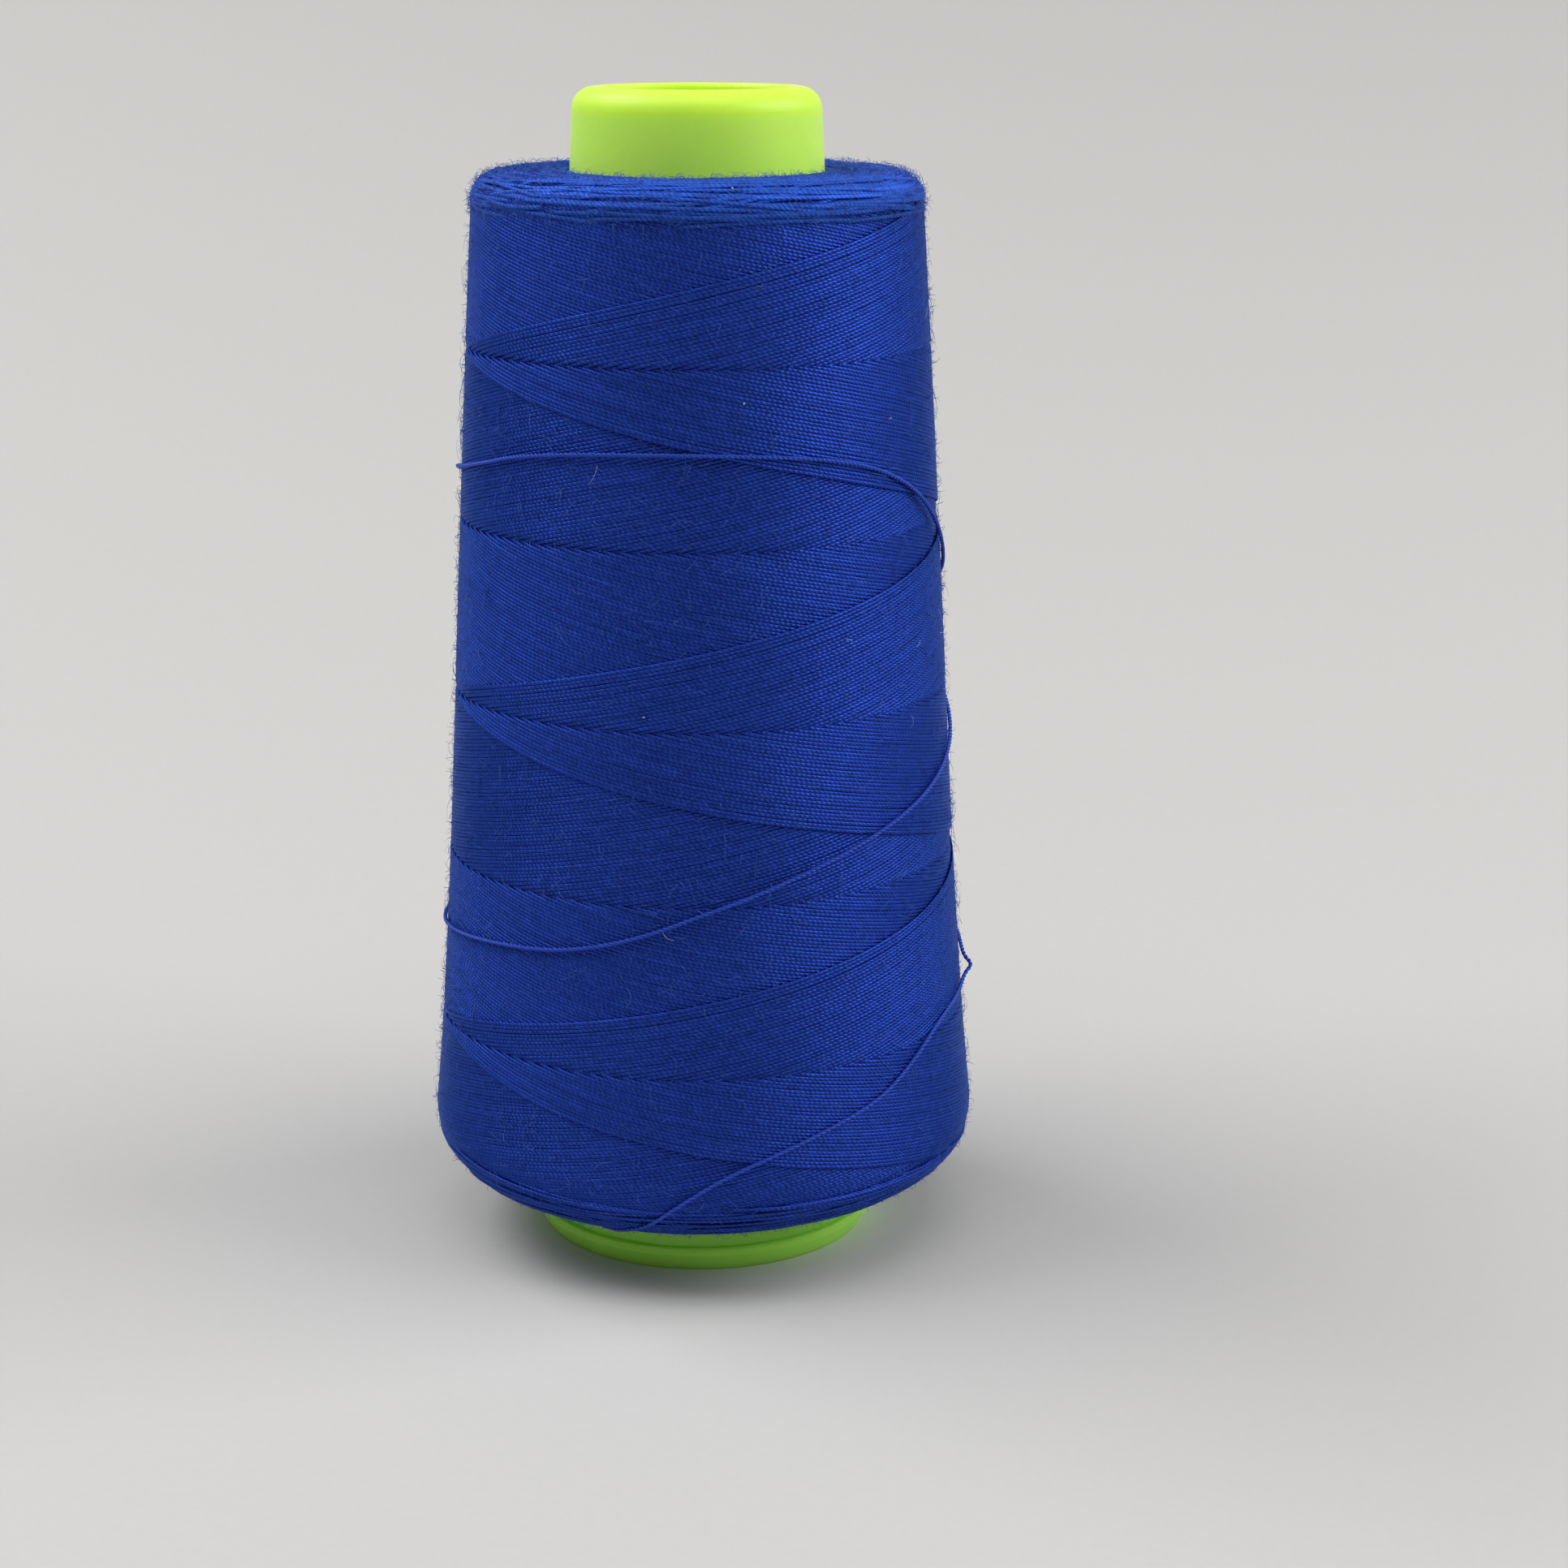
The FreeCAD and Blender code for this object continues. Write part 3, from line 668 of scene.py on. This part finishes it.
class THREADCONE_OT_winding(Operator):
    """The outer layer: one thread that climbs and falls round the package until it covers it"""

    bl_idname = "threadcone.winding"
    bl_label = "Crossed winding"

    seed = 11
    steps_per_turn = 96
    chunks = 4
    sides = 6
    # How far the thread wanders: off the package, and across its way in short and in long waves.
    lift_wobble = 0.010 * MM
    fine_wobble = 0.010 * MM
    slow_wobble = 0.006 * MM

    def execute(self, context):
        settings = context.scene.thread_cone
        sizes = settings.winding
        profile = Profile(sizes, settings.cone)
        rng = np.random.default_rng(self.seed)
        per_pass = 2 * sizes.turns_up * self.steps_per_turn
        count = sizes.passes * per_pass + 1
        step = np.arange(count)
        number = np.minimum(step // per_pass, sizes.passes - 1)
        within = (step - number * per_pass) / per_pass
        points, outward = profile.wrap(*self.route(rng, sizes, number, within))
        length = np.r_[0, np.cumsum(np.linalg.norm(np.diff(points, axis=0), axis=1))]
        tone = 1 + 0.06 * wander(rng, count, 4)
        tone += 0.02 * rng.normal(size=sizes.passes)[number]
        material = thread_finish("wound_thread", sizes.blue, gloss=0.9, roughness=0.42)
        bounds = np.linspace(0, sizes.passes, self.chunks + 1).astype(int) * per_pass
        for part in range(self.chunks):
            span = slice(bounds[part], bounds[part + 1] + 1)
            along = (length[span] - length[bounds[part]]) / sizes.twist_pitch
            piece = tubes(
                "winding_%d" % (part + 1), points[None, span], outward[None, span],
                sizes.thread_width / 2, sizes.thread_depth / 2, self.sides, along[None], tone[None, span])
            finish(piece, material, "blue_thread", "outer_winding")
        return {"FINISHED"}

    def route(self, rng, sizes, number, within):
        """Angle, lay coordinate and lift at each step, from its pass number and its share of that pass.

        A pass climbs by the lead in each turn, turns back at the high end and falls at the same rate.
        Each pass ends a turn / passes short of where it began, so that all of them cover the package.
        A thread lies (age + crossing) / lead layer steps low, and one step more where a newer thread
        crosses over it: crossing is how far off the newest thread of the other direction is, within
        one lead, and age how far the newest one of its own direction is.
        """
        climb = sizes.lead / TURN
        half_pass = sizes.turns_up * TURN
        shift = TURN / sizes.passes
        pass_angle = 2 * half_pass - shift
        # The straight rising and falling lines meet here, at the low end.
        low_angle = (-sizes.turns_up * sizes.lead - (sizes.newest_rise - sizes.newest_fall)) / (2 * climb)
        low_lay = sizes.newest_rise + climb * low_angle
        count = len(number)
        age = (sizes.passes - 1 - number) * sizes.lead / sizes.passes
        angle = low_angle + shift * (sizes.passes - 1) - number * shift + within * pass_angle
        path = within * 2 * half_pass
        from_low = np.minimum(path, 2 * half_pass - path)
        rising = path < half_pass
        lay = low_lay + climb * self.turning(from_low, half_pass, sizes.reversal)
        crossing = np.where(
            rising,
            (lay - sizes.newest_fall + climb * angle) % sizes.lead,
            (sizes.newest_rise + climb * angle - lay) % sizes.lead)
        blend = 0.35 * MM
        over = smooth_step(crossing - age, -blend, blend)
        lift = -sizes.layer_step * ((age + crossing) / sizes.lead + 1 - over)
        lift += self.lift_wobble * wander(rng, count, 2)
        from_end = half_pass / 2 - np.abs(from_low - half_pass / 2)
        wobble = self.fine_wobble * wander(rng, count, 2) + self.slow_wobble * wander(rng, count, 12)
        lay += wobble * smooth_step(from_end, 0, 0.6)
        lay += self.spread_newest(rng, sizes, number, rising)
        return angle, lay, lift

    @staticmethod
    def turning(from_low, half_pass, bend):
        """Angle climbed: straight between the ends, and a hyperbola of this bend at each end."""
        to_high = half_pass - from_low
        return np.hypot(from_low, bend) - np.hypot(to_high, bend) + to_high

    @staticmethod
    def spread_newest(rng, sizes, number, rising):
        """Uneven steps that open gaps between the newest passes: they fade as exp(-passes since / 5)."""
        age = sizes.passes - 1 - np.arange(sizes.passes)
        loose = np.exp(-age / 5.0)
        uneven = 0.04 * MM * rng.normal(size=(2, sizes.passes)) * loose + 0.05 * MM * loose
        return np.where(rising, uneven[0][number], -uneven[1][number])


class THREADCONE_OT_turned_ends(Operator):
    """The threads that turn back on the top face and on the underside, lying nearly round the cone"""

    bl_idname = "threadcone.turned_ends"
    bl_label = "Turned ends"

    seed = 23
    stations = 18
    sides = 6
    ring_spacing = 0.34 * MM
    margin = 0.2 * MM

    def execute(self, context):
        settings = context.scene.thread_cone
        sizes = settings.winding
        profile = Profile(sizes, settings.cone)
        rng = np.random.default_rng(self.seed)
        # Lay coordinates between which the arcs lie at each end.
        top = (108.6 * MM, profile.lay[-1] - 0.25 * MM)
        base = (profile.lay[0] + 0.25 * MM, 11.0 * MM)
        # Painted light: the top face's arcs take the lighter blue, for the light that falls on the top face
        # from above
        material = thread_finish("top_thread", sizes.painted_lit_blue, gloss=0.35, roughness=0.6)
        piece = self.arcs(rng, profile, sizes, "top_turns", *top, per_ring=20)
        finish(piece, material, "blue_thread", "thread_package")
        material = thread_finish("base_thread", sizes.blue, gloss=0.8, roughness=0.45)
        piece = self.arcs(rng, profile, sizes, "base_turns", *base, per_ring=17)
        finish(piece, material, "blue_thread", "thread_package")
        return {"FINISHED"}

    def arcs(self, rng, profile, sizes, name, low, high, per_ring):
        """Short arcs round the package, so many to a ring, in rings from low to high.

        At share u from -1 to 1 along an arc its lay coordinate is base + bow * (u^2 - 0.3) + lean * u,
        and it lies a random depth of up to 1.3 layer steps low, and 1.3 u^6 layer steps more.
        """
        rings = int((high - low) / self.ring_spacing)
        rows = rings * per_ring
        base = low + (high - low) * (np.arange(rows) + 0.5) / rows
        base += 0.2 * MM * rng.normal(size=rows)
        lay_limits = (profile.lay[0] + self.margin, profile.lay[-1] - self.margin)
        base = np.clip(base, *lay_limits)
        middle = rng.uniform(0, TURN, rows)
        reach = np.radians(rng.uniform(12, 32, rows))
        share = np.linspace(-1, 1, self.stations)
        bow = rng.normal(0, 0.2, rows) * MM
        lean = rng.normal(0, 0.5, rows) * MM
        angle = middle[:, None] + reach[:, None] * share
        lay = base[:, None] + bow[:, None] * (share ** 2 - 0.3) + lean[:, None] * share
        lay = np.clip(lay, *lay_limits)
        lift = -sizes.layer_step * (rng.uniform(0.0, 1.3, rows)[:, None] + 1.3 * share ** 6)
        points, outward = profile.wrap(angle, lay, lift)
        gaps = np.linalg.norm(np.diff(points, axis=1), axis=2)
        along = np.concatenate([np.zeros((rows, 1)), np.cumsum(gaps, axis=1)], axis=1) / sizes.twist_pitch
        tone = (0.65 + 0.35 * smooth_step(base, low, low + 2.5 * MM)) * (1 + 0.10 * rng.normal(size=rows))
        tone = tone[:, None] + 0 * share
        return tubes(
            name, points, outward, sizes.thread_width / 2, sizes.thread_depth / 2, self.sides, along, tone)


class THREADCONE_OT_loose_end(Operator):
    """The loose end: two plies twisted round each other along the listed route

    The centre of each ply is the route's point + 0.85 ply (cos t sideways + sin t over), where t is one
    turn in each twist pitch, and half a turn more for the second ply.
    """

    bl_idname = "threadcone.loose_end"
    bl_label = "Loose end"

    # Step along the thread, measure of a ply, and how high the thread's middle lies on the winding.
    step = 0.1 * MM
    ply = 0.106 * MM
    lie = 0.14 * MM

    def execute(self, context):
        settings = context.scene.thread_cone
        sizes = settings.winding
        profile = Profile(sizes, settings.cone)
        turned_radius = (sizes.base_radius + sizes.top_radius) / 2
        route = np.array(LOOSE_ROUTE)
        flat = np.stack([np.radians(route[:, 0]) * turned_radius, route[:, 1] * MM, route[:, 2] * MM], -1)
        line = self.smooth(flat)
        length = np.r_[0, np.cumsum(np.linalg.norm(np.diff(line, axis=0), axis=1))]
        place = np.arange(0, length[-1], self.step)
        across, height, stand_off = (np.interp(place, length, line[:, axis]) for axis in range(3))
        angle = across / turned_radius
        points, outward = profile.wrap(angle, profile.lay_at(height), stand_off + self.lie)
        ahead = unit(np.gradient(points, axis=0))
        sideways = unit(np.cross(outward, ahead))
        over = np.cross(ahead, sideways)
        twist = TURN * place / sizes.twist_pitch
        turn = np.stack([twist, twist + math.pi])[..., None]
        centres = points + 0.85 * self.ply * (np.cos(turn) * sideways + np.sin(turn) * over)
        outward = np.broadcast_to(outward, centres.shape)
        along = np.broadcast_to(place / sizes.twist_pitch * 2, centres.shape[:2])
        piece = tubes("loose_thread", centres, outward, self.ply * 1.35, self.ply * 1.35, 6, along, 1.0)
        finish(piece, self.ply_finish(sizes), "blue_thread", "loose_strand")
        return {"FINISHED"}

    @staticmethod
    def smooth(points):
        """Points read from the NURBS spline that has the route's points as its control points."""
        curve = bpy.data.curves.new("route", "CURVE")
        curve.dimensions = "3D"
        curve.resolution_u = 12
        spline = curve.splines.new("NURBS")
        spline.points.add(len(points) - 1)
        spline.points.foreach_set("co", np.c_[points, np.ones(len(points))].ravel())
        spline.order_u = 3
        spline.use_endpoint_u = True
        holder = bpy.data.objects.new("route", curve)
        mesh = bpy.data.meshes.new_from_object(holder)
        line = np.zeros(len(mesh.vertices) * 3)
        mesh.vertices.foreach_get("co", line)
        bpy.data.objects.remove(holder)
        bpy.data.curves.remove(curve)
        bpy.data.meshes.remove(mesh)
        return line.reshape(-1, 3)

    @staticmethod
    def ply_finish(sizes):
        """Single plies: fine fibres along each, a little brighter than the pressed thread."""
        recipe = Recipe("loose_ply")
        spread = recipe.add("ShaderNodeUVMap", uv_map="thread")
        fibres = recipe.noise(spread.outputs[0], 4.0, 3.0, 0.7)
        share = recipe.remap(fibres, 0.3, 0.7, 0, 1)
        recipe.set(
            Base_Color=recipe.mix(share, scaled(sizes.blue, 0.9), scaled(sizes.blue, 1.6)),
            Roughness=0.4, Metallic=0.5, Specular_IOR_Level=0.2)
        recipe.bump(fibres, 0.4, 0.04 * MM)
        return recipe.material


class THREADCONE_OT_fuzz(Operator):
    """Fine fibre ends that stand off the thread all over"""

    bl_idname = "threadcone.fuzz"
    bl_label = "Fuzz"

    seed = 37

    def execute(self, context):
        settings = context.scene.thread_cone
        sizes = settings.winding
        profile = Profile(sizes, settings.cone)
        rng = np.random.default_rng(self.seed)
        material = self.fibre(sizes.blue)
        low, high = profile.lay_at(11 * MM), profile.lay_at(108 * MM)
        # Name, how many, the lay coordinates between which they grow, usual length and height, stations.
        for name, count, span, length, height, stations in (
                ("fuzz_flank", 5000, (low, high), 1.6 * MM, 0.17 * MM, 7),
                ("fuzz_nap", 6000, (low, high), 0.5 * MM, 0.21 * MM, 4),
                ("fuzz_top", 7000, (high, profile.lay[-1] - 1.2 * MM), 0.9 * MM, 0.22 * MM, 5),
                ("fuzz_base", 2500, (profile.lay[0], low), 0.8 * MM, 0.2 * MM, 5)):
            piece = hairs(
                name, profile, rng.uniform(0, TURN, count), rng.uniform(*span, count),
                np.minimum(rng.gamma(3.0, length / 3.0, count), 2.2 * length), rng.uniform(0, TURN, count),
                rng.normal(0, 1.4, count), np.minimum(rng.exponential(height, count), 3.2 * height),
                0.027 * MM * rng.uniform(0.7, 1.3, (count, 1)), stations)
            finish(piece, material, "blue_thread")
        return {"FINISHED"}

    @staticmethod
    def fibre(blue):
        """Single fibres look paler than the thread; their paleness wanders over the package."""
        recipe = Recipe("fuzz_fibre")
        place = recipe.add("ShaderNodeTexCoord").outputs["Object"]
        cloud = recipe.noise(place, 400.0, 2.0)
        pale = (blue[0] * 3 + 0.02, blue[1] * 2 + 0.05, blue[2] * 1.3 + 0.06, 1.0)
        recipe.set(
            Base_Color=recipe.mix(recipe.remap(cloud, 0.3, 0.7, 0.0, 1.0), scaled(blue, 1.2), pale),
            Roughness=0.5, Specular_IOR_Level=0.2, Specular_Tint=(0.5, 0.65, 1.0, 1.0))
        return recipe.material


class THREADCONE_OT_lint(Operator):
    """Pale lint caught on the thread: the specks and curled fibres of the photograph, and more behind"""

    bl_idname = "threadcone.lint"
    bl_label = "Lint"

    seed = 53
    scattered = 70
    speck_share = 0.3
    hidden_side = (math.radians(75), math.radians(285))

    def execute(self, context):
        settings = context.scene.thread_cone
        profile = Profile(settings.winding, settings.cone)
        rng = np.random.default_rng(self.seed)
        seen = np.array(LINT) * (math.radians(1), MM, MM, math.radians(1), math.radians(1), MM)
        seen[:, 1] = profile.lay_at(seen[:, 1])
        count = self.scattered
        speck = rng.uniform(size=count) < self.speck_share
        # The columns are those of LINT, in radians and metres.
        others = np.stack([
            rng.uniform(*self.hidden_side, count),
            rng.uniform(profile.lay_at(12 * MM), profile.lay[-1], count),
            np.where(speck, 0.4, rng.uniform(0.8, 2.0, count)) * MM,
            rng.uniform(0, TURN, count),
            np.where(speck, 5.0, rng.uniform(-4.0, 4.0, count)),
            np.where(speck, 0.045, 0.024) * MM], axis=-1)
        angle, lay, length, heading, curl, thick = np.concatenate([seen, others]).T
        height = 0 * angle + 0.25 * MM
        piece = hairs("lint", profile, angle, lay, length, heading, curl, height, thick[:, None], 12)
        recipe = Recipe("lint_fibre")
        place = recipe.add("ShaderNodeTexCoord").outputs["Object"]
        cloud = recipe.noise(place, 900.0, 2.0)
        recipe.set(
            Base_Color=recipe.mix(cloud, (0.25, 0.32, 0.62, 1.0), (0.55, 0.62, 0.85, 1.0)), Roughness=0.7)
        finish(piece, recipe.material, "blue_thread")
        return {"FINISHED"}


class THREADCONE_PT_panel(Panel):
    """Lists the pieces and their settings"""

    bl_idname = "THREADCONE_PT_panel"
    bl_label = "Thread cone"
    bl_space_type = "VIEW_3D"
    bl_region_type = "UI"
    bl_category = "Thread cone"

    def draw(self, context):
        for operator in PIECES:
            self.layout.operator(operator.bl_idname)
        settings = context.scene.thread_cone
        for group in (settings.cone, settings.winding, settings.stage):
            box = self.layout.box()
            for key in group.__annotations__:
                box.prop(group, key)


PIECES = (
    THREADCONE_OT_stage,
    THREADCONE_OT_cone,
    THREADCONE_OT_inner_layers,
    THREADCONE_OT_winding,
    THREADCONE_OT_turned_ends,
    THREADCONE_OT_loose_end,
    THREADCONE_OT_fuzz,
    THREADCONE_OT_lint,
)
CLASSES = (ConeSizes, WindingSizes, StageSizes, ThreadCone) + PIECES + (THREADCONE_PT_panel,)


def register():
    for item in CLASSES:
        bpy.utils.register_class(item)
    bpy.types.Scene.thread_cone = PointerProperty(type=ThreadCone)


def unregister():
    del bpy.types.Scene.thread_cone
    for item in reversed(CLASSES):
        bpy.utils.unregister_class(item)


def main():
    """Registers the add-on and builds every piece."""
    register()
    for operator in PIECES:
        group, name = operator.bl_idname.split(".")
        getattr(getattr(bpy.ops, group), name)()


if __name__ == "__main__":
    main()
